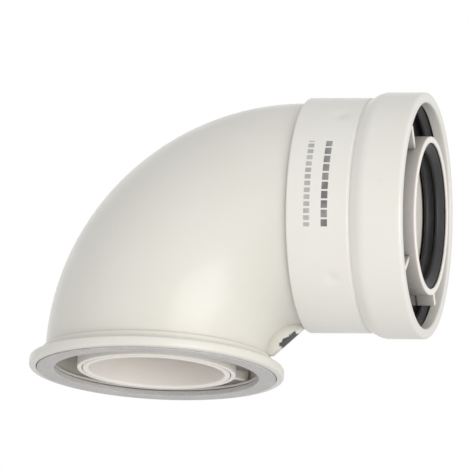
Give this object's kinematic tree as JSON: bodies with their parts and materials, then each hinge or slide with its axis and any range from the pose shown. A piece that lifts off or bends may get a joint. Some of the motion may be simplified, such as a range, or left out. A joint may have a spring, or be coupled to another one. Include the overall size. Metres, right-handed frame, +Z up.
{
  "type": "concentric boiler flue elbow",
  "caption": "Right-angle concentric flue elbow for a room-sealed boiler: a white air elbow with a flanged base and a socket mouth, round a plastic flue elbow with rubber seals.",
  "frame": {"origin": "centre of the base face, on the axis of the boiler's flue outlet", "axes": "+Z up along the boiler's flue outlet, +X out of the socket mouth along the horizontal run, Y across; the elbow is in the XZ plane"},
  "size_m": [0.179, 0.114, 0.128],
  "materials": {
    "white_enamel": "smooth white coating, satin to semi-gloss",
    "flue_plastic": "moulded off-white polypropylene, satin",
    "black_rubber": "moulded black EPDM lip seals",
    "grey_rubber": "pale grey sponge gasket"
  },
  "bodies": {
    "root": {"air_bend": "white_enamel", "air_socket": "white_enamel", "base_flange": "white_enamel", "base_gasket": "grey_rubber", "flue_elbow": "flue_plastic", "flue_socket": "flue_plastic", "air_mouth_seal": "black_rubber", "flue_mouth_seal": "black_rubber", "flue_joint_seal": "black_rubber", "flue_base_seal": "black_rubber", "air_joint_seal": "black_rubber", "socket_spider": "flue_plastic", "base_spider": "flue_plastic"}
  },
  "joints": []
}
